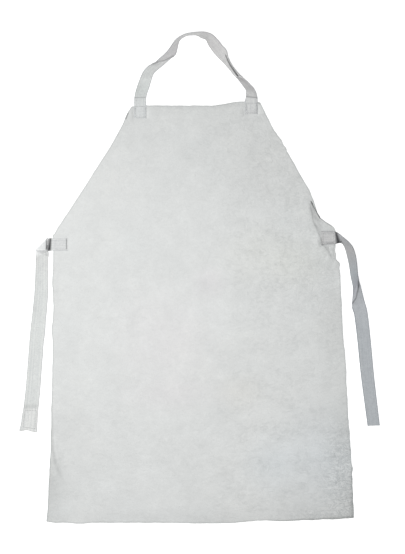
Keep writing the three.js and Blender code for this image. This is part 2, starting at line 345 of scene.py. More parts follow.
def dress(tree, shader, colour, heights):
    """A shader's colour, and bumps one over another: rows of height socket, strength and depth"""
    tree.links.new(colour, shader.inputs["Base Color"])
    below = {}
    for height, strength, depth in heights:
        bump = add_node(tree, "Bump", values={"Strength": strength, "Distance": depth},
                        feeds={"Height": height, **below})
        below = {"Normal": bump.outputs["Normal"]}
    tree.links.new(below["Normal"], shader.inputs["Normal"])


SUEDE = (0.792, 0.806, 0.799)
SUEDE_LAYERS = [
    (3.6, (0.990, 0.975, 0.950), 0.45),
    (6.5, (0.945, 0.958, 0.968), 0.55),
    (14.0, (0.890, 0.890, 0.890), 0.42),
    (37.0, (0.890, 0.890, 0.890), 0.40),
    (110.0, (0.900, 0.900, 0.900), 0.50),
]


def stretched_noise(tree, scale, distortion):
    """Noise on Object coordinates with a scale of its own on each axis"""
    place = add_node(tree, "TexCoord")
    stretch = add_node(tree, "Mapping", values={"Scale": scale},
                       feeds={"Vector": place.outputs["Object"]})
    ripples = add_node(tree, "TexNoise", values={"Scale": 1.0, "Detail": 3.0, "Distortion": distortion},
                       feeds={"Vector": stretch.outputs["Vector"]})
    return ripples.outputs["Fac"]


def as_strong_as(tree, name, *values):
    """Values multiplied by an attribute of the leather"""
    return [calculated(tree, "MULTIPLY", value, attribute_of(tree, name)) for value in values]


def fine_wrinkles(tree):
    """Height of the finest wrinkles, and a mask of their valleys for painted shade, where the leather is
    wrinkled
    """
    ripples = stretched_noise(tree, (72.0, 116.0, 1.0), 1.3)
    folded = calculated(tree, "ABSOLUTE", calculated(tree, "SUBTRACT", ripples, 0.5))
    return as_strong_as(tree, "wrinkled", folded, ranged(tree, folded, 0.075, 0.0))


def pebbled_grain(tree):
    """Height of the short ripples in the leather, a mask of their hollows for painted shade, and their
    drifts, where it is pebbled
    """
    ripples = stretched_noise(tree, (84.0, 122.0, 1.0), 0.9)
    drift = ranged(tree, stretched_noise(tree, (19.0, 26.0, 1.0), 0.5), 0.38, 0.62, least=0.25)
    hollow_shade = ranged(tree, ripples, 0.60, 0.34, soft=True)
    return as_strong_as(tree, "pebbled", ripples, calculated(tree, "MULTIPLY", hollow_shade, drift), drift)


def make_suede():
    """Pale split leather: cloudy, napped, wrinkled at the corners, with painted shade in its nap, hollows,
    wrinkle valleys and creases and along the cut edge, and painted light and shade over broad stretches
    """
    material, tree, shader = new_material("pale_suede", 0.93, 0.18, 0.1)
    nap = add_group(tree, nap_group, {"Fibre Scale": 620.0})
    pores = add_group(tree, nap_group, {"Fibre Scale": 130.0})
    wrinkles, valley_shade = fine_wrinkles(tree)
    pebbles, pebble_shade, drifts = pebbled_grain(tree)
    crease_shade = add_group(tree, crease_shade_group, {})
    # Painted shade along the cut edge
    cut_edge_shade = ranged(tree, attribute_of(tree, "rim_distance"), 0.0042, 0.0002, soft=True)
    clouds = patched_colour(tree, SUEDE, SUEDE_LAYERS)
    # The tint attribute holds the leather's tone with painted light and shade over broad stretches
    colour = darkened(tree, multiplied(tree, clouds, attribute_of(tree, "tint", "Color")), [
        # Painted shade in the deeper spots of the nap
        (nap.outputs["Deep_Spot_Shade"], (0.84, 0.84, 0.835), 0.6),
        # Painted shade in the hollows of the pebbled grain
        (pebble_shade, (0.90, 0.903, 0.903), 1.0),
        (drifts, (0.94, 0.94, 0.94), 1.0),
        (cut_edge_shade, (0.78, 0.79, 0.79), 0.75),
        # Painted shade in the valleys of the fine wrinkles
        (valley_shade, (0.66, 0.68, 0.69), 0.65),
        # Painted shade along creases, pleats and rolled edges, near black
        (crease_shade.outputs["Painted_Shade"], (0.03, 0.03, 0.03), 1.0),
    ])
    dress(tree, shader, colour, [
        (wrinkles, 1.0, 0.0042),
        (pebbles, 0.6, 0.0030),
        (pores.outputs["Height"], 0.4, 0.0012),
        (nap.outputs["Height"], 0.5, 0.0004),
    ])
    return material


def make_cut_edge():
    """The raw cut edge of the leather, fibrous and darker"""
    material, tree, shader = new_material("suede_cut_edge", 0.95, 0.1, 0.05)
    fibres = add_group(tree, nap_group, {"Fibre Scale": 1100.0})
    colour = patched_colour(tree, (0.56, 0.57, 0.56), [(60.0, (0.85, 0.85, 0.84), 0.6)])
    # Painted shade in the deeper spots of the fibres
    colour = darkened(tree, colour, [(fibres.outputs["Deep_Spot_Shade"], (0.7, 0.7, 0.69), 0.7)])
    dress(tree, shader, colour, [(fibres.outputs["Height"], 0.6, 0.0004)])
    return material


def make_tape(name, edge_darkening, ribbed, mottled):
    """Woven cotton tape: its tone along its length with painted light and shade in it, herringbone,
    streaks, and painted shade in its yarn gaps, nap, creases and folds
    """
    material, tree, shader = new_material(name, 0.9, 0.2, 0.08)
    place = add_node(tree, "UVMap", {"uv_map": "tape"})
    crease_shade = add_group(tree, crease_shade_group, {})
    weave = add_group(tree, weave_group, {})
    nap = add_group(tree, nap_group, {"Fibre Scale": 420.0})
    tree.links.new(place.outputs["UV"], weave.inputs["Place"])
    patches = patched_colour(tree, (1.0, 1.0, 1.0), [
        (16.0, (0.94, 0.94, 0.945), 0.6),
        (75.0, (0.90, 0.90, 0.905), 0.4 * mottled),
        (260.0, (0.84, 0.84, 0.85), 0.45 * mottled),
    ])
    # Colour along the tape: the cloth's tone with painted light and shade
    colour = darkened(tree, multiplied(tree, attribute_of(tree, "cloth_tone_and_light", "Color"), patches), [
        # Painted shade in the gaps between the yarns
        (weave.outputs["Gap_Shade"], (0.76, 0.77, 0.78), 0.4),
        (weave.outputs["Rib"], (0.86, 0.87, 0.88), ribbed),
        (weave.outputs["Streak"], (0.87, 0.88, 0.89), 0.6),
        # Painted shade in the deeper spots of the nap
        (nap.outputs["Deep_Spot_Shade"], (0.82, 0.82, 0.83), 0.7),
        # Darker along both edges
        (weave.outputs["Selvedge"], (0.74, 0.75, 0.765), edge_darkening),
        # Painted shade along the tape's creases and folds and under raised edges, near black
        (crease_shade.outputs["Painted_Shade"], (0.03, 0.03, 0.035), 1.0),
    ])
    dress(tree, shader, colour, [
        (nap.outputs["Height"], 0.4, 0.0008),
        (weave.outputs["Height"], 0.5, 0.0004),
    ])
    return material


def make_thread(name, grey):
    """Sewing thread in a shade of grey"""
    material, tree, shader = new_material(name, 0.75, 0.3, 0.1)
    strands = add_group(tree, nap_group, {"Fibre Scale": 1800.0})
    colour = patched_colour(tree, grey, [(260.0, (0.8, 0.8, 0.8), 0.6)])
    # Painted shade in the deeper spots of the twisted strands
    colour = darkened(tree, colour, [(strands.outputs["Deep_Spot_Shade"], (0.7, 0.7, 0.7), 0.6)])
    dress(tree, shader, colour, [(strands.outputs["Height"], 0.5, 0.0002)])
    return material


suede = make_suede()
cut_edge = make_cut_edge()
neck_tape_cloth = make_tape("neck_tape_cloth", 0.7, 0.2, 1.5)
left_tie_cloth = make_tape("left_tie_cloth", 0.3, 0.45, 1.0)
right_tie_cloth = make_tape("right_tie_cloth", 0.8, 0.2, 1.6)
# A dark grey thread: partly the thread's own colour, partly painted shade of the sunken stitches
thread_with_groove_shade = make_thread("thread_with_groove_shade", (0.40, 0.41, 0.415))
pale_thread = make_thread("pale_thread", (0.66, 0.67, 0.665))


# Lines on the apron, as points in the plan

def near_line(line, x, y):
    """How far a point is from a line, how far along the line its nearest point is, and on which side"""
    best = (1.0, 0.0, 1.0)
    for index, (start, stop) in enumerate(zip(line, line[1:])):
        run_x, run_y = stop[0] - start[0], stop[1] - start[1]
        off_x, off_y = x - start[0], y - start[1]
        share = (off_x * run_x + off_y * run_y) / (run_x * run_x + run_y * run_y)
        share = min(max(share, 0.0), 1.0)
        distance = math.hypot(off_x - share * run_x, off_y - share * run_y)
        if distance < best[0]:
            best = (distance, (index + share) / (len(line) - 1), run_x * off_y - run_y * off_x)
    return best


# Tapes: each is laid along the sections of its CAD solid

# Lines of painted shade in the tapes' creases and folds and under their raised edges: where they run, then
# half widths and darkness at both ends
NECK_CREASES = [
    ([(-0.1420, 0.3885), (-0.1180, 0.3885)], 0.0022, 0.0022, 0.30, 0.30),
    ([(-0.0992, 0.4617), (-0.0785, 0.4675), (-0.0582, 0.4779)], 0.0026, 0.0026, 0.38, 0.38),
    ([(0.0563, 0.4781), (0.0606, 0.4673), (0.0660, 0.4575), (0.0725, 0.4479), (0.0818, 0.4348)],
     0.0028, 0.0032, 0.66, 0.92),
    ([(0.1010, 0.3906), (0.1260, 0.3874)], 0.0028, 0.0028, 0.40, 0.40),
]
LEFT_TIE_CREASES = [
    ([(-0.3220, 0.0890), (-0.3255, 0.0610)], 0.0048, 0.0078, 0.80, 0.94),
    ([(-0.3262, 0.0880), (-0.3275, 0.0600)], 0.0036, 0.0052, 0.25, 0.90),
    ([(-0.3316, 0.0860), (-0.3312, 0.0600)], 0.0018, 0.0030, 0.60, 0.95),
    ([(-0.3454, 0.0530), (-0.3379, 0.0510), (-0.3303, 0.0472)], 0.0016, 0.0020, 0.10, 0.32),
    ([(-0.2882, 0.0830), (-0.2882, 0.0615)], 0.0013, 0.0013, 0.85, 0.85),
    ([(-0.3800, -0.0480), (-0.3560, -0.0680)], 0.0080, 0.0080, 0.06, 0.06),
    ([(-0.3860, -0.2800), (-0.3560, -0.2780)], 0.0090, 0.0090, 0.16, 0.16),
]
RIGHT_TIE_CREASES = [
    ([(0.2622, 0.0820), (0.2636, 0.0705), (0.2670, 0.0698)], 0.0022, 0.0030, 0.24, 0.42),
    ([(0.2740, 0.0733), (0.2890, 0.0742)], 0.0012, 0.0012, 0.50, 0.50),
    ([(0.2932, 0.1000), (0.2987, 0.0755)], 0.0048, 0.0104, 0.88, 0.92),
    ([(0.2960, 0.0772), (0.3055, 0.0778)], 0.0022, 0.0018, 0.86, 0.70),
    ([(0.3419, -0.0080), (0.3420, -0.0210)], 0.0028, 0.0030, 0.50, 0.85),
    ([(0.3420, -0.0210), (0.3390, -0.0340), (0.3368, -0.0440), (0.3300, -0.0560)],
     0.0030, 0.0024, 0.50, 0.50),
]

# Places where a tape is pulled out of its even run: middle, reach, and shift on both axes
NECK_PULLS = [
    ((0.0131, 0.5126), 0.012, (0.0010, 0.0018)),
    ((-0.0916, 0.4770), 0.016, (-0.0012, 0.0008)),
    ((0.0552, 0.4889), 0.016, (0.0026, 0.0013)),
    ((0.0984, 0.4263), 0.012, (-0.0012, -0.0006)),
    ((0.1085, 0.4180), 0.014, (-0.0015, -0.0008)),
]
LEFT_TIE_PULLS = [
    ((-0.3290, 0.0490), 0.012, (0.0014, 0.0)),
    ((-0.3843, -0.3016), 0.022, (-0.0012, 0.0)),
    ((-0.3324, -0.1180), 0.030, (0.0011, 0.0)),
    ((-0.3864, -0.3264), 0.016, (-0.0030, -0.0042)),
    ((-0.3583, -0.3307), 0.016, (0.0, -0.0020)),
]
RIGHT_TIE_PULLS = [
    ((0.3045, 0.0715), 0.012, (-0.0012, 0.0030)),
    ((0.3310, 0.0040), 0.030, (-0.0011, 0.0)),
    ((0.3284, -0.0662), 0.016, (-0.0014, 0.0)),
    ((0.3780, -0.3100), 0.110, (0.0012, -0.0010)),
]

# Colour along the tapes, partly the cloth's own tone and partly painted light and shade: lighter where a
# fold or a tape standing on edge would lie in shade, darker along stretches seen in shade: length and
# colour
NECK_TONES_AND_PAINTED_LIGHT = [
    (0.03, (0.80, 0.82, 0.81)), (0.06, (0.74, 0.77, 0.75)), (0.10, (0.88, 0.90, 0.88)),
    (0.17, (0.79, 0.78, 0.78)), (0.23, (0.84, 0.84, 0.83)), (0.29, (0.72, 0.71, 0.70)),
    (0.37, (0.69, 0.69, 0.68)), (0.40, (0.98, 0.97, 0.96)), (0.43, (0.80, 0.80, 0.79)),
    (0.45, (0.78, 0.79, 0.78)),
]
LEFT_TIE_TONES_AND_PAINTED_LIGHT = [
    (0.045, (0.81, 0.82, 0.81)), (0.050, (0.94, 0.95, 0.94)), (0.076, (0.95, 0.96, 0.95)),
    (0.088, (0.79, 0.80, 0.78)), (0.150, (0.81, 0.83, 0.81)), (0.400, (0.82, 0.84, 0.82)),
    (0.470, (0.86, 0.87, 0.85)),
]
RIGHT_TIE_TONES_AND_PAINTED_LIGHT = [
    (0.028, (0.75, 0.75, 0.74)), (0.040, (0.55, 0.56, 0.57)), (0.075, (0.49, 0.49, 0.49)),
    (0.130, (0.43, 0.46, 0.48)), (0.155, (0.39, 0.40, 0.43)), (0.175, (0.62, 0.64, 0.66)),
    (0.240, (0.58, 0.61, 0.63)),
]


def between(table, place):
    """Colour from a table of places and colours, drawn straight from row to row"""
    for (near, first), (far, second) in zip(table, table[1:]):
        if place <= far:
            return Vector(first).lerp(Vector(second), max(place - near, 0.0) / (far - near))
    return Vector(table[-1][1])


def nearest_crease(creases, x, y):
    """How far off the nearest crease a point is, in widths and with a side, and how dark it is"""
    best = (OFF_CREASES, 0.0)
    for line, start_width, stop_width, start_strength, stop_strength in creases:
        distance, along, side = near_line(line, x, y)
        offset = distance / (start_width + (stop_width - start_width) * along)
        if offset < abs(best[0]):
            strength = start_strength + (stop_strength - start_strength) * along
            best = (math.copysign(offset, side), strength * rounded_ridge(offset / CREASE_SHADE_SPREAD))
    return best


def pulled(pulls, x, y):
    """How far a point of a tape is shifted by the pulls near it"""
    total = Vector()
    for (middle_x, middle_y), reach, shift in pulls:
        total += Vector((*shift, 0.0)) * rounded_ridge(math.hypot(x - middle_x, y - middle_y) / reach)
    return total


def tape_sections(node, sewn_towards):
    """Edge points of a tape's sections at mid thickness, in order from the end that lies in a direction"""
    solid = merged_solid(node)
    ring = sorted(solid.verts, key=lambda corner: corner.co.dot(Vector(sewn_towards)))[-4:]
    seen = set(ring)
    sections = []
    while ring:
        first = ring[0].co
        near = min(ring[1:], key=lambda corner: (corner.co - first).length)
        pair = [(first + near.co) / 2, sum((c.co for c in ring[1:] if c is not near), Vector()) / 2]
        if sections and (pair[0] - sections[-1][0]).length > (pair[1] - sections[-1][0]).length:
            pair.reverse()
        sections.append(pair)
        ring = list({other for corner in ring for edge in corner.link_edges
                     for other in edge.verts if other not in seen})
        seen.update(ring)
    solid.free()
    return sections


def lengths_along(sections):
    """How far each section of a tape is from its first, along the middle"""
    middles = [(left + right) / 2 for left, right in sections]
    lengths = [0.0]
    for near, far in zip(middles, middles[1:]):
        lengths.append(lengths[-1] + (far - near).length)
    return lengths


def at_length(sections, lengths, length):
    """The section of a tape at a length along it"""
    for index in range(1, len(lengths)):
        if lengths[index] >= length:
            share = (length - lengths[index - 1]) / max(lengths[index] - lengths[index - 1], 1e-9)
            share = min(max(share, 0.0), 1.0)
            return [near.lerp(far, share) for near, far in zip(sections[index - 1], sections[index])]
    return sections[-1]


def tape_normal(sections, lengths, length):
    """The upper side's direction of a tape at a length along it"""
    left, right = at_length(sections, lengths, length)
    reach = 0.003
    before = at_length(sections, lengths, length - reach)
    after = at_length(sections, lengths, length + reach)
    along = after[0] + after[1] - before[0] - before[1]
    normal = (right - left).cross(along).normalized()
    return normal if normal.z > 0 else -normal


def turned_hem(sections):
    """A tape's sections with its free end turned back over the front and laid on it"""
    lengths = lengths_along(sections)
    end = lengths[-1] - HEM_RADIUS
    body = [pair for pair, length in zip(sections, lengths) if length < end - TAPE_STEP]
    tip = at_length(sections, lengths, end)
    ahead = (tip[0] + tip[1] - body[-1][0] - body[-1][1]).normalized()
    turn = []
    for step in range(1, HEM_STEPS):
        angle = math.pi * step / HEM_STEPS
        shift = ahead * HEM_RADIUS * math.sin(angle) + UP * HEM_RADIUS * (1.0 - math.cos(angle))
        turn.append([corner + shift for corner in tip])
    back = []
    for step in range(HEM_STEPS + 1):
        pair = at_length(sections, lengths, end - HEM_TURN * step / HEM_STEPS)
        back.append([corner + UP * 2.0 * HEM_RADIUS for corner in pair])
    return body + [tip] + turn + back


def laid_tape(name, sections, cloth, held, pulls, creases, tones_and_painted_light, seed):
    """A tape as a sheet through its sections, crumpled a little except over its held lengths"""
    lengths = lengths_along(sections)
    stops = [0.0]
    for near, far in zip(lengths, lengths[1:]):
        steps = math.ceil((far - near) / TAPE_STEP)
        stops.extend(near + (far - near) * step / steps for step in range(1, steps + 1))
    rows = len(stops) - 1
    sheet = bmesh.new()
    flat_map = sheet.loops.layers.uv.new("tape")
    crease_offset = sheet.verts.layers.float.new("crease_offset")
    crease_strength = sheet.verts.layers.float.new("crease_strength")
    cloth_tone_and_light = sheet.verts.layers.float_color.new("cloth_tone_and_light")
    bmesh.ops.create_grid(sheet, x_segments=TAPE_COLUMNS, y_segments=rows, size=0.5)
    for face in sheet.faces:
        for loop in face.loops:
            row = round((loop.vert.co.y + 0.5) * rows)
            loop[flat_map].uv = ((loop.vert.co.x + 0.5) * TAPE_WIDTH, stops[row])
    edges = [at_length(sections, lengths, stop) for stop in stops]
    normals = [tape_normal(sections, lengths, stop) for stop in stops]
    for corner in sheet.verts:
        across = corner.co.x + 0.5
        row = round((corner.co.y + 0.5) * rows)
        length = stops[row]
        free = 1.0
        for start, stop in held:
            free *= eased(max(start - length, length - stop), 0.0, HELD_FADE)
        fold = 0.5 + 0.5 * noise.noise(Vector((across * TAPE_FOLDS, length / TAPE_FOLD_LENGTH, seed)))
        curl = 0.5 + 0.5 * noise.noise(Vector((across, length / TAPE_CURL_LENGTH, seed + 9)))
        curl *= abs(2.0 * across - 1.0) ** 3
        corner.co = edges[row][0].lerp(edges[row][1], across)
        crumple = TAPE_FOLD_RISE * fold + TAPE_CURL_RISE * curl
        corner.co += normals[row] * free * normals[row].z ** 2 * crumple
        corner.co += pulled(pulls, corner.co.x, corner.co.y)
        corner[crease_offset], corner[crease_strength] = nearest_crease(creases, corner.co.x, corner.co.y)
        corner[cloth_tone_and_light] = (*between(tones_and_painted_light, length), 1.0)
    bmesh.ops.recalc_face_normals(sheet, faces=sheet.faces)
    piece = finished_piece(name, sheet, [cloth])
    rounding = piece.modifiers.new("rounding", "SUBSURF")
    rounding.levels = 1
    rounding.render_levels = 1
    rounding.boundary_smooth = "PRESERVE_CORNERS"
    wall = piece.modifiers.new("thickness", "SOLIDIFY")
    wall.thickness = TAPE_THICKNESS
    wall.offset = 0.0
    return piece, lengths


def box_stitches(name, sections, lengths, start, stop, inset, thread):
    """A box of stitches round a sewn tape end, from one length along the tape to another"""
    shares = (inset / TAPE_WIDTH, 1.0 - inset / TAPE_WIDTH)
    bends = [(start, shares[0]), (stop, shares[0]), (stop, shares[1]), (start, shares[1]),
             (start, shares[0])]
    stitches = bmesh.new()
    for (length_a, share_a), (length_b, share_b) in zip(bends, bends[1:]):
        ends = []
        for length, share in ((length_a, share_a), (length_b, share_b)):
            left, right = at_length(sections, lengths, length)
            ends.append(left.lerp(right, share))
        count = max(2, round((ends[1] - ends[0]).length / STITCH_PITCH))
        for step in range(count):
            middle = (step + 0.5) / count
            length = length_a + (length_b - length_a) * middle
            left, right = at_length(sections, lengths, length)
            normal = tape_normal(sections, lengths, length)
            run = (ends[1] - ends[0]).normalized()
            side = normal.cross(run).normalized()
            turn = Matrix((run, side, run.cross(side))).transposed().to_4x4()
            seat = left.lerp(right, share_a + (share_b - share_a) * middle)
            seat += normal * TAPE_THICKNESS * 0.5
            size = Matrix.Diagonal((STITCH_LENGTH / 2, THREAD_RADIUS, THREAD_RADIUS, 1.0))
            bmesh.ops.create_uvsphere(stitches, u_segments=6, v_segments=5, radius=1.0,
                                      matrix=Matrix.Translation(seat) @ turn @ size)
    return finished_piece(name, stitches, [thread])


neck_sections = tape_sections("neck_strap", (-0.2, -1.0, 0.0))
neck_end = lengths_along(neck_sections)[-1]
left_tie_sections = turned_hem(tape_sections("left_tie", (1.0, 0.0, 0.0)))
left_tie_end = lengths_along(left_tie_sections)[-1]
right_tie_sections = tape_sections("right_tie", (-1.0, 0.0, 0.0))
neck_tape, neck_lengths = laid_tape(
    "neck_tape", neck_sections, neck_tape_cloth,
    [(0.0, NECK_LEFT_HELD), (neck_end - NECK_RIGHT_HELD, neck_end)],
    NECK_PULLS, NECK_CREASES, NECK_TONES_AND_PAINTED_LIGHT, 2.3)
left_tie, left_lengths = laid_tape(
    "left_tie_tape", left_tie_sections, left_tie_cloth,
    [(0.0, LEFT_TIE_HELD), (left_tie_end - 2.0 * HEM_TURN, left_tie_end)],
    LEFT_TIE_PULLS, LEFT_TIE_CREASES, LEFT_TIE_TONES_AND_PAINTED_LIGHT, 4.1)
right_tie, right_lengths = laid_tape(
    "right_tie_tape", right_tie_sections, right_tie_cloth, [(0.0, RIGHT_TIE_HELD)],
    RIGHT_TIE_PULLS, RIGHT_TIE_CREASES, RIGHT_TIE_TONES_AND_PAINTED_LIGHT, 7.7)
neck_left_stitches = box_stitches(
    "neck_left_stitches", neck_sections, neck_lengths, *NECK_LEFT_SEAM, SEAM_INSET, thread_with_groove_shade)
neck_right_stitches = box_stitches(
    "neck_right_stitches", neck_sections, neck_lengths,
    neck_end - NECK_RIGHT_SEAM[1], neck_end - NECK_RIGHT_SEAM[0], SEAM_INSET, thread_with_groove_shade)
left_tie_stitches = box_stitches(
    "left_tie_stitches", left_tie_sections, left_lengths, *TIE_SEAM, SEAM_INSET, pale_thread)
hem_stitches = box_stitches(
    "hem_stitches", left_tie_sections, left_lengths,
    left_tie_end - HEM_TURN + HEM_SEAM, left_tie_end - HEM_SEAM, WIDE_SEAM_INSET, thread_with_groove_shade)
right_tie_stitches = box_stitches(
    "right_tie_stitches", right_tie_sections, right_lengths, *TIE_SEAM, WIDE_SEAM_INSET, thread_with_groove_shade)


# The leather panel: a fine sheet over the top of its CAD solid

# Creases of the leather: where they run, their rise or depth, and how far each side slopes
LEATHER_CREASES = [
    ([(0.2366, 0.1563), (0.2431, 0.1202), (0.2522, 0.0986), (0.2647, 0.0731), (0.2792, 0.0446),
      (0.2852, 0.0332)], 0.0016, 0.0040, 0.020),
    ([(0.2418, 0.1589), (0.2485, 0.1468), (0.2539, 0.1373)], -0.0040, 0.0030, 0.0030),
    ([(-0.3130, -0.3400), (-0.3100, -0.3700), (-0.3010, -0.4268)], 0.0006, 0.006, 0.012),
]

# Painted shade in the leather's creases, pleats and rolled edges, with faint darker bands across the bib
# and along the hem: where it runs, then half widths and darkness at both ends
LEATHER_PAINTED_SHADE = [
    ([(0.2400, 0.1630), (0.2485, 0.1468), (0.2539, 0.1373), (0.2593, 0.1280)], 0.0022, 0.0030, 1.0, 1.0),
    ([(0.2593, 0.1280), (0.2720, 0.1190), (0.2850, 0.1103)], 0.0018, 0.0014, 0.55, 0.55),
    ([(0.2376, 0.1563), (0.2441, 0.1202), (0.2532, 0.0986), (0.2657, 0.0731)],
     0.0026, 0.0018, 0.22, 0.12),
    ([(0.2575, 0.0870), (0.2640, 0.0696)], 0.0016, 0.0026, 0.12, 0.34),
    ([(0.2699, 0.0647), (0.2729, 0.0595), (0.2822, 0.0461), (0.2863, 0.0338)],
     0.0020, 0.0016, 0.18, 0.08),
    ([(0.2759, 0.0699), (0.2781, 0.0585), (0.2831, 0.0431)], 0.0012, 0.0012, 0.24, 0.16),
    ([(0.2905, 0.0708), (0.2873, 0.0585), (0.2883, 0.0483), (0.2930, 0.0390), (0.2960, 0.0308)],
     0.0016, 0.0018, 0.22, 0.22),
    ([(-0.1150, 0.3700), (0.0000, 0.3695), (0.0900, 0.3740)], 0.0120, 0.0120, 0.05, 0.05),
    ([(-0.3196, -0.2500), (-0.3192, -0.3720)], 0.0050, 0.0075, 0.04, 0.18),
    ([(-0.3192, -0.3720), (-0.3108, -0.4030), (-0.3040, -0.4204), (-0.3000, -0.4280)],
     0.0070, 0.0090, 0.18, 0.08),
    ([(-0.3150, -0.0310), (-0.3090, -0.0310)], 0.0070, 0.0070, 0.05, 0.05),
    ([(-0.1597, 0.3420), (-0.1543, 0.3561)], 0.0020, 0.0020, 0.55, 0.55),
    ([(0.1243, 0.3800), (0.1290, 0.3740)], 0.0018, 0.0018, 0.40, 0.40),
    ([(0.3290, -0.3950), (0.3285, -0.4200), (0.3310, -0.5150)], 0.0060, 0.0100, 0.22, 0.22),
    ([(0.1500, -0.5260), (0.2600, -0.5225), (0.3310, -0.5180)], 0.0046, 0.0070, 0.22, 0.26),
]

# Places where the side edges are pulled in or stand out: place up the edge, reach and shift to the right
LEFT_EDGE_NICKS = [
    (0.3140, 0.025, -0.0008),
    (0.1412, 0.040, -0.0012),
    (0.0895, 0.0075, -0.0034),
    (-0.0100, 0.030, -0.0017),
    (-0.0660, 0.022, 0.0010),
    (-0.1137, 0.032, -0.0024),
    (-0.2865, 0.030, -0.0010),
    (-0.3685, 0.032, 0.0013),
    (-0.4460, 0.020, -0.0008),
]
RIGHT_EDGE_NICKS = [
    (0.3180, 0.022, -0.0010),
    (0.2935, 0.010, 0.0016),
    (0.2794, 0.009, 0.0022),
    (0.2350, 0.020, -0.0008),
    (0.1900, 0.012, 0.0018),
    (0.0770, 0.007, 0.0014),
    (0.0564, 0.008, -0.0008),
    (0.0290, 0.009, 0.0034),
    (-0.1590, 0.016, 0.0010),
    (-0.1830, 0.050, 0.0018),
    (-0.3000, 0.045, -0.0008),
    (-0.4120, 0.011, 0.0026),
    (-0.4330, 0.009, 0.0010),
]

# Places where the hem stands out: place along it, reach and shift
HEM_NICKS = [
    (-0.2590, 0.035, 0.0016),
    (0.0200, 0.100, 0.0014),
    (0.1840, 0.050, 0.0021),
]

# Strips in which the nicks come on: away from the middle for the sides, and down towards the hem
SIDE_STRIP = (0.10, 0.11)
HEM_STRIP = (0.47, 0.50)

# Soft relief of the leather: rise, then length, width and seed of its ripples
SOFT_RELIEF = [
    (0.0010, (0.11, 0.11, 3.1)),
    (0.0008, (0.034, 0.027, 8.7)),
    (0.0003, (0.014, 0.010, 2.2)),
]

# Ripples that make the wrinkles and the puckers at the waist: length, width and seed
WRINKLES = (0.019, 0.0090, 5.2)
FINE_WRINKLES = (0.0095, 0.0065, 1.7)
PUCKERS = (0.010, 0.015, 6.6)

# Stretches where the leather is lighter or darker, partly its own tone and partly painted light and shade
# that evens out how the lamps and the folds light it: middle, reach on both axes, and tint
LEATHER_TONES_AND_PAINTED_LIGHT = [
    ((0.000, 0.370), (0.34, 0.300), (0.955, 0.957, 0.957)),
    ((-0.160, 0.330), (0.14, 0.100), (0.968, 0.968, 0.968)),
    ((0.134, 0.232), (0.13, 0.130), (0.962, 0.962, 0.962)),
    ((0.245, 0.150), (0.14, 0.220), (0.936, 0.939, 0.939)),
    ((0.256, 0.088), (0.018, 0.034), (1.110, 1.110, 1.108)),
    ((0.277, 0.058), (0.022, 0.026), (1.090, 1.090, 1.088)),
    ((0.288, 0.040), (0.022, 0.024), (1.080, 1.080, 1.080)),
    ((0.300, -0.008), (0.020, 0.035), (1.080, 1.080, 1.080)),
    ((0.134, 0.048), (0.13, 0.100), (1.000, 1.000, 0.984)),
    ((-0.075, -0.135), (0.17, 0.170), (1.030, 1.012, 1.022)),
    ((0.290, -0.105), (0.08, 0.160), (0.962, 0.962, 0.962)),
    ((0.350, -0.200), (0.16, 0.500), (0.948, 0.951, 0.951)),
    ((0.087, -0.248), (0.07, 0.055), (0.972, 0.962, 0.948)),
    ((0.259, -0.384), (0.13, 0.160), (0.978, 0.994, 1.014)),
    ((0.318, -0.315), (0.05, 0.110), (0.920, 0.922, 0.922)),
    ((0.250, -0.540), (0.20, 0.100), (0.915, 0.915, 0.915)),
    ((0.345, -0.520), (0.09, 0.160), (0.930, 0.930, 0.930)),
    ((-0.335, -0.480), (0.12, 0.200), (0.948, 0.951, 0.951)),
    ((-0.340, -0.455), (0.06, 0.140), (0.930, 0.930, 0.930)),
    ((0.200, -0.050), (0.30, 0.600), (1.020, 1.020, 1.020)),
    ((0.259, 0.004), (0.03, 0.030), (1.045, 1.045, 1.045)),
    ((0.220, 0.030), (0.09, 0.080), (1.000, 1.000, 0.984)),
    ((0.020, -0.010), (0.05, 0.050), (1.012, 0.992, 1.006)),
    ((0.045, -0.075), (0.10, 0.090), (1.035, 1.035, 1.035)),
    ((-0.060, -0.255), (0.16, 0.050), (1.008, 0.992, 1.000)),
    ((-0.285, -0.315), (0.09, 0.070), (0.962, 0.962, 0.962)),
    ((0.255, -0.300), (0.09, 0.050), (0.970, 0.970, 0.970)),
    ((0.105, -0.365), (0.06, 0.055), (1.045, 1.045, 1.045)),
    ((0.155, -0.400), (0.08, 0.100), (0.985, 1.000, 1.015)),
    ((0.240, -0.470), (0.10, 0.050), (0.965, 0.965, 0.965)),
    ((0.000, -0.535), (0.42, 0.050), (0.930, 0.930, 0.930)),
]


def rim_loop(top):
    """Points of a sheet's rim, in order round it"""
    links = {}
    for edge in top.edges:
        if edge.is_boundary:
            first, second = edge.verts
            links.setdefault(first, []).append(second)
            links.setdefault(second, []).append(first)
    loop = [next(iter(links))]
    while len(loop) < len(links):
        loop.append(next(other for other in links[loop[-1]] if other not in loop[-2:]))
    return [corner.co.copy() for corner in loop]


def rim_side(loop, first, last):
    """The shorter way round the rim from one corner to another"""
    start, stop = loop.index(first), loop.index(last)
    size = len(loop)
    onward = [loop[(start + step) % size] for step in range((stop - start) % size + 1)]
    backward = [loop[(start - step) % size] for step in range((start - stop) % size + 1)]
    return min(onward, backward, key=len)


def along_side(side, axis, share):
    """Point of a side at a share of its reach on one axis"""
    place = side[0][axis] + share * (side[-1][axis] - side[0][axis])
    for near, far in zip(side, side[1:]):
        if far[axis] >= place:
            step = (place - near[axis]) / max(far[axis] - near[axis], 1e-9)
            return near.lerp(far, min(max(step, 0.0), 1.0))
    return side[-1].copy()


def crowded(bands, place):
    """Share of the way at a step of a grid whose bands have steps of their own"""
    start, done = 0.0, 0
    for stop, steps in bands:
        if place <= done + steps:
            return start + (stop - start) * (place - done) / steps
        start, done = stop, done + steps
    return 1.0


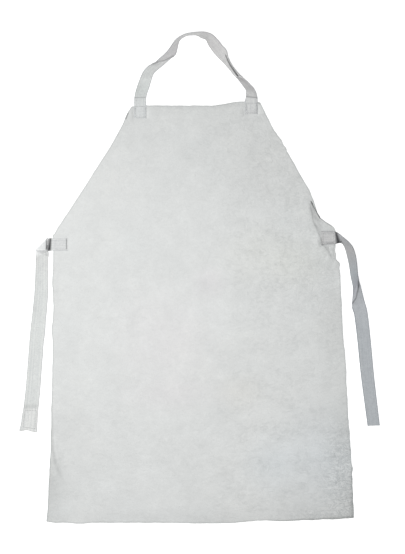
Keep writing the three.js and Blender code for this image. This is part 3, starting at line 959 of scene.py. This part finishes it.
def wrinkled_share(x, y):
    """How wrinkled the leather is: most in the lower right corner, some by the left hem and right side"""
    lower_right = eased(x, 0.225, 0.315) * eased(-y, 0.25, 0.40)
    right_hem = 0.7 * eased(x, 0.16, 0.26) * eased(-y, 0.480, 0.515)
    right_side = 0.3 * eased(x, 0.06, 0.26) * eased(y, -0.20, 0.0)
    lower_left = 0.2 * eased(-x, 0.25, 0.325) * eased(-y, 0.26, 0.40)
    return max(0.08, lower_right, right_hem, right_side, lower_left)


def pebbled_share(x, y):
    """How pebbled the leather is: more on the right and near the ends, most beside the right waist"""
    right = 0.40 * eased(x, -0.06, 0.15)
    ends = 0.15 * eased(abs(y + 0.05), 0.15, 0.35)
    waist = 0.30 * rounded_ridge(math.hypot((x - 0.17) / 0.16, (y - 0.06) / 0.16))
    return 0.25 + right + ends + waist


def leather_tone_and_painted_light(x, y):
    """Tint of the leather at a point, its tone with painted light and shade, with the four parts of a
    colour
    """
    colour = [1.0, 1.0, 1.0, 1.0]
    for (middle_x, middle_y), (reach_x, reach_y), tint in LEATHER_TONES_AND_PAINTED_LIGHT:
        share = rounded_ridge(math.hypot((x - middle_x) / reach_x, (y - middle_y) / reach_y))
        for part in range(3):
            colour[part] *= 1.0 + share * (tint[part] - 1.0)
    return colour


def waist_share(x, y):
    """How near a point is to the rucked edge below the right tie"""
    return rounded_ridge(math.hypot(x - 0.288, y - 0.046) / 0.042)


def leather_relief(x, y):
    """Soft unevenness of the lying leather, its wrinkles and its creases"""
    height = sum(rise * (0.5 + 0.5 * ripple(x, y, *ripples)) for rise, ripples in SOFT_RELIEF)
    wrinkle = abs(ripple(x, y, *WRINKLES)) + 0.5 * abs(ripple(x, y, *FINE_WRINKLES))
    pucker = abs(ripple(x, y, *PUCKERS))
    height += WRINKLE_RISE * wrinkled_share(x, y) * wrinkle + PUCKER_RISE * waist_share(x, y) * pucker
    for line, rise, left, right in LEATHER_CREASES:
        distance, along, side = near_line(line, x, y)
        ends = eased(along, 0.0, 0.25) * eased(1.0 - along, 0.0, 0.25)
        height += rise * ends * rounded_ridge(distance / (left if side > 0 else right))
    return height


def panel_edges(top):
    """The rim of the panel's top as four edges: hem and bib edge from the left, both sides from the hem"""
    loop = rim_loop(top)
    hem_left = min(loop, key=lambda point: point.x + point.y)
    hem_right = max(loop, key=lambda point: point.x - point.y)
    bib_left = max(loop, key=lambda point: point.y - 0.5 * point.x)
    bib_right = max(loop, key=lambda point: point.y + 0.5 * point.x)
    return (rim_side(loop, hem_left, hem_right), rim_side(loop, bib_left, bib_right),
            rim_side(loop, hem_left, bib_left), rim_side(loop, hem_right, bib_right))


def spanned_point(edges, u, v):
    """Point of a sheet spanned between four edges, at a share across and a share up"""
    hem, bib, left, right = edges
    sides = along_side(left, 1, v) * (1 - u) + along_side(right, 1, v) * u
    ends = along_side(hem, 0, u) * (1 - v) + along_side(bib, 0, u) * v
    corners = (hem[0] * (1 - u) + hem[-1] * u) * (1 - v)
    corners += (bib[0] * (1 - u) + bib[-1] * u) * v
    return sides + ends - corners


def ground_height(ground, x, y):
    """Height of the CAD solid's top at a place in the plan, or of the nearest point on it"""
    well_above, just_above = 0.5, 0.03
    hit = ground.ray_cast(Vector((x, y, well_above)), -UP)[0]
    return (hit or ground.find_nearest(Vector((x, y, just_above)))[0]).z


def rim_finder(sheet):
    """Search tree of the points on a sheet's rim, in the plan"""
    points = [corner.co for corner in sheet.verts if corner.is_boundary]
    rim = KDTree(len(points))
    for index, point in enumerate(points):
        rim.insert((point.x, point.y, 0.0), index)
    rim.balance()
    return rim


def relief_height(place, lying_height, tapes):
    """Height of a point with the leather's relief, held down to its lying height under a tape"""
    near_tape = min(tape.find_nearest(place)[3] for tape in tapes)
    rise = leather_relief(place.x, place.y) * eased(near_tape, RELIEF_START, RELIEF_FULL)
    raised = place + UP * rise
    search_start, search_length = 0.002, 0.008
    under_tape = any(tape.ray_cast(raised - UP * search_start, UP, search_length)[0] for tape in tapes)
    return min(raised.z, lying_height) if under_tape or near_tape < TAPE_CLEARANCE else raised.z


def rim_shift(x, y, from_rim):
    """How far the ragged rim and its nicks move a point in the plan"""
    ragged = RAGGED_LEAST + RAGGED_WAIST * waist_share(x, y) + RAGGED_WRINKLED * wrinkled_share(x, y)
    ragged *= 1.0 - eased(from_rim, 0.0, RAGGED_DEPTH)
    shift_x = ragged * ripple(x, y, RAGGED_LENGTH, RAGGED_LENGTH, 4.4)
    shift_y = ragged * ripple(x, y, RAGGED_LENGTH, RAGGED_LENGTH, 9.4)
    at_rim = 1.0 - eased(from_rim, 0.0, NICK_DEPTH)
    for height, reach, nick in RIGHT_EDGE_NICKS if x > 0.0 else LEFT_EDGE_NICKS:
        shift_x += nick * rounded_ridge((y - height) / reach) * at_rim * eased(abs(x), *SIDE_STRIP)
    for place, reach, nick in HEM_NICKS:
        shift_y -= nick * rounded_ridge((x - place) / reach) * at_rim * eased(-y, *HEM_STRIP)
    return Vector((shift_x, shift_y, 0.0))


def leather_panel():
    """The bib and skirt in one sheet, with its rim on the CAD solid's rim"""
    top = merged_solid("panel")
    turned_away = [face for face in top.faces if face.normal.z < 0.3]
    bmesh.ops.delete(top, geom=turned_away, context="FACES")
    ground = BVHTree.FromBMesh(top)
    edges = panel_edges(top)
    top.free()
    tapes = [BVHTree.FromBMesh(merged_solid(node)) for node in ("neck_strap", "left_tie", "right_tie")]
    columns = sum(steps for _, steps in PANEL_COLUMNS)
    rows = sum(steps for _, steps in PANEL_ROWS)
    sheet = bmesh.new()
    rim_distance = sheet.verts.layers.float.new("rim_distance")
    wrinkled = sheet.verts.layers.float.new("wrinkled")
    crease_offset = sheet.verts.layers.float.new("crease_offset")
    crease_strength = sheet.verts.layers.float.new("crease_strength")
    pebbled = sheet.verts.layers.float.new("pebbled")
    # Tint: the leather's tone with painted light and shade over broad stretches
    tint = sheet.verts.layers.float_color.new("tint")
    bmesh.ops.create_grid(sheet, x_segments=columns, y_segments=rows, size=0.5)
    heights = {}
    for corner in sheet.verts:
        u = crowded(PANEL_COLUMNS, (corner.co.x + 0.5) * columns)
        v = crowded(PANEL_ROWS, (corner.co.y + 0.5) * rows)
        corner.co = spanned_point(edges, u, v)
        corner.co.z = heights[corner] = ground_height(ground, corner.co.x, corner.co.y)
    for _ in range(SMOOTHING_ROUNDS):
        bmesh.ops.smooth_vert(sheet, verts=sheet.verts, factor=0.5, use_axis_z=True)
    rim = rim_finder(sheet)
    for corner in sheet.verts:
        x, y = corner.co.x, corner.co.y
        from_rim = rim.find((x, y, 0.0))[2]
        corner.co.z = relief_height(corner.co, heights[corner], tapes)
        corner.co += rim_shift(x, y, from_rim)
        corner[rim_distance] = from_rim
        corner[wrinkled] = wrinkled_share(x, y)
        corner[crease_offset], corner[crease_strength] = nearest_crease(LEATHER_PAINTED_SHADE, x, y)
        corner[pebbled] = pebbled_share(x, y)
        corner[tint] = leather_tone_and_painted_light(x, y)
    bmesh.ops.recalc_face_normals(sheet, faces=sheet.faces)
    piece = finished_piece("leather_panel", sheet, [suede, cut_edge])
    wall = piece.modifiers.new("thickness", "SOLIDIFY")
    wall.thickness = LEATHER_THICKNESS
    wall.offset = -1.0
    wall.material_offset_rim = 1
    rounding = piece.modifiers.new("cut edge", "BEVEL")
    rounding.width = CUT_EDGE_ROUNDING
    rounding.segments = 2
    rounding.limit_method = "ANGLE"
    rounding.angle_limit = math.radians(50.0)
    rounding.harden_normals = True
    return piece


panel = leather_panel()


# Floor, light and camera

def make_floor():
    """A plain pale floor that the camera sees as white"""
    sheet = bmesh.new()
    bmesh.ops.create_grid(sheet, x_segments=1, y_segments=1, size=FLOOR_SIZE / 2)
    material, tree, shader = new_material("pale_floor", 0.9, 0.0, 0.0)
    shader.inputs["Base Color"].default_value = (0.55, 0.55, 0.55, 1.0)
    shader.inputs["Emission Color"].default_value = (1.0, 1.0, 1.0, 1.0)
    tree.links.new(brighter_in_view(tree, *FLOOR_GLOW), shader.inputs["Emission Strength"])
    return finished_piece("floor", sheet, [material])


def add_softbox(name, place, aim, size, power):
    """A square soft light that shines from one point towards another"""
    light = bpy.data.lights.new(name, "AREA")
    light.size = size
    light.energy = power
    lamp = bpy.data.objects.new(name, light)
    lamp.location = place
    lamp.rotation_euler = (Vector(aim) - Vector(place)).to_track_quat("-Z", "Y").to_euler()
    lamp.visible_camera = False
    bpy.context.scene.collection.objects.link(lamp)


floor = make_floor()
add_softbox("overhead_softbox", (-0.30, -0.08, 1.6), (-0.30, -0.08, 0.0), 0.8, 14.0)
add_softbox("side_softbox", (-2.3, 1.2, 1.0), (0.0, 0.0, 0.0), 0.7, 30.0)
add_softbox("fill_softbox", (2.2, -1.3, 0.8), (0.0, 0.2, 0.0), 0.7, 12.0)
world = bpy.data.worlds.new("studio")
world.use_nodes = True
sky = world.node_tree.nodes["Background"]
sky.inputs["Color"].default_value = (1.0, 1.0, 1.0, 1.0)
world.node_tree.links.new(brighter_in_view(world.node_tree, *SKY_GLOW), sky.inputs["Strength"])
bpy.context.scene.world = world
bpy.context.scene.view_settings.view_transform = "Standard"

view = bpy.data.cameras.new("camera")
view.sensor_width = 36.0
view.lens = 36.0 * CAMERA_HEIGHT / PHOTO_HEIGHT
camera = bpy.data.objects.new("camera", view)
camera.location = (*PHOTO_CENTRE, CAMERA_HEIGHT)
bpy.context.scene.collection.objects.link(camera)
bpy.context.scene.camera = camera


# How the pieces belong to the apron

neck_stitches = [neck_left_stitches, neck_right_stitches]
tie_stitches = [left_tie_stitches, hem_stitches, right_tie_stitches]
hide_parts("panel")
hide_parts("neck_strap")
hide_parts("left_tie")
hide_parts("right_tie")
for piece in (panel, neck_tape, left_tie, right_tie, *neck_stitches, *tie_stitches):
    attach(piece, "root")
